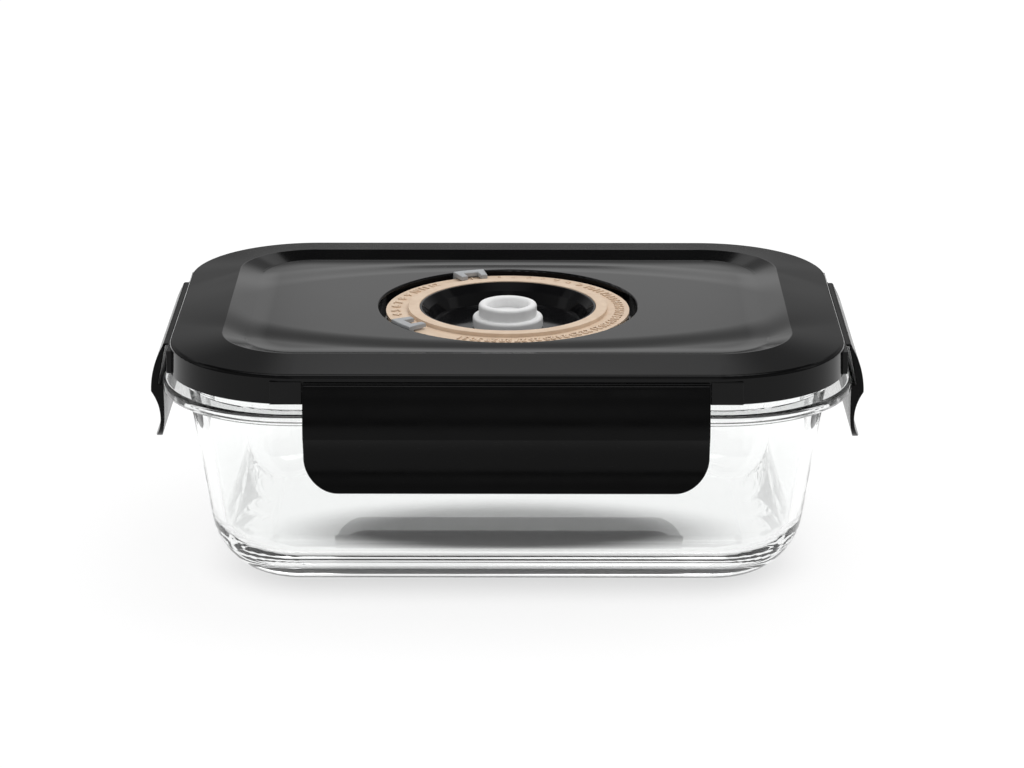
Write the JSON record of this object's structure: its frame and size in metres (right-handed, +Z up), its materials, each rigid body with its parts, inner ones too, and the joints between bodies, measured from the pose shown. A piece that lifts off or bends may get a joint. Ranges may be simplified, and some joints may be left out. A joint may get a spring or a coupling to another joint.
{
  "type": "vacuum seal canister",
  "caption": "Rectangular clear glass food canister with a black vacuum lid, hinged side latches, a pump well with a soft valve, and a date dial with sliders.",
  "frame": {"origin": "on the surface the dish stands on, under the middle of the dish", "axes": "+Z up, +X along the long side, -Y towards the front latch"},
  "size_m": [0.2128, 0.1582, 0.0742],
  "materials": {
    "clear_glass": "clear polished glass",
    "lid_plastic": "satin black polypropylene",
    "latch_plastic": "satin black polypropylene",
    "gasket_silicone": "matt grey silicone",
    "ring_plastic": "tan moulded plastic",
    "slider_plastic": "light grey moulded plastic",
    "well_plastic": "polished black plastic",
    "valve_silicone": "smooth white silicone"
  },
  "bodies": {
    "dish": {"glass_dish": "clear_glass"},
    "lid": {"lid_shell": "lid_plastic", "lid_gasket": "gasket_silicone", "date_ring": "ring_plastic", "valve_cup": "well_plastic", "cup_seal": "gasket_silicone"},
    "valve": {"vacuum_valve": "valve_silicone"},
    "month_slider": {"month_slider": "slider_plastic"},
    "day_slider": {"day_slider": "slider_plastic"},
    "right_latch": {"right_latch": "latch_plastic"},
    "rear_latch": {"rear_latch": "latch_plastic"},
    "left_latch": {"left_latch": "latch_plastic"},
    "front_latch": {"front_latch": "latch_plastic"}
  },
  "joints": [
    {"name": "lid_lift", "type": "slide", "parent": "dish", "child": "lid", "axis": [0, 0, 1], "range_m": [0, 0.08]},
    {"name": "right_latch_hinge", "type": "hinge", "parent": "lid", "child": "right_latch", "pos_m": [0.10045, 0, 0.0697], "axis": [0, -1, 0], "range_deg": [-4.5, 95]},
    {"name": "rear_latch_hinge", "type": "hinge", "parent": "lid", "child": "rear_latch", "pos_m": [0, 0.07315, 0.0697], "axis": [1, 0, 0], "range_deg": [-4.5, 95]},
    {"name": "left_latch_hinge", "type": "hinge", "parent": "lid", "child": "left_latch", "pos_m": [-0.10045, 0, 0.0697], "axis": [0, 1, 0], "range_deg": [-4.5, 95]},
    {"name": "front_latch_hinge", "type": "hinge", "parent": "lid", "child": "front_latch", "pos_m": [0, -0.07315, 0.0697], "axis": [-1, 0, 0], "range_deg": [-4.5, 95]},
    {"name": "month_slider_turn", "type": "hinge", "parent": "lid", "child": "month_slider", "pos_m": [0, 0, 0.0714], "axis": [0, 0, 1], "range_deg": [-81.4, 0]},
    {"name": "day_slider_turn", "type": "hinge", "parent": "lid", "child": "day_slider", "pos_m": [0, 0, 0.0714], "axis": [0, 0, 1], "range_deg": [-222, 0]},
    {"name": "valve_pull", "type": "slide", "parent": "lid", "child": "valve", "axis": [0, 0, 1], "range_m": [0, 0.0015], "stiffness_N_per_m": 200}
  ]
}
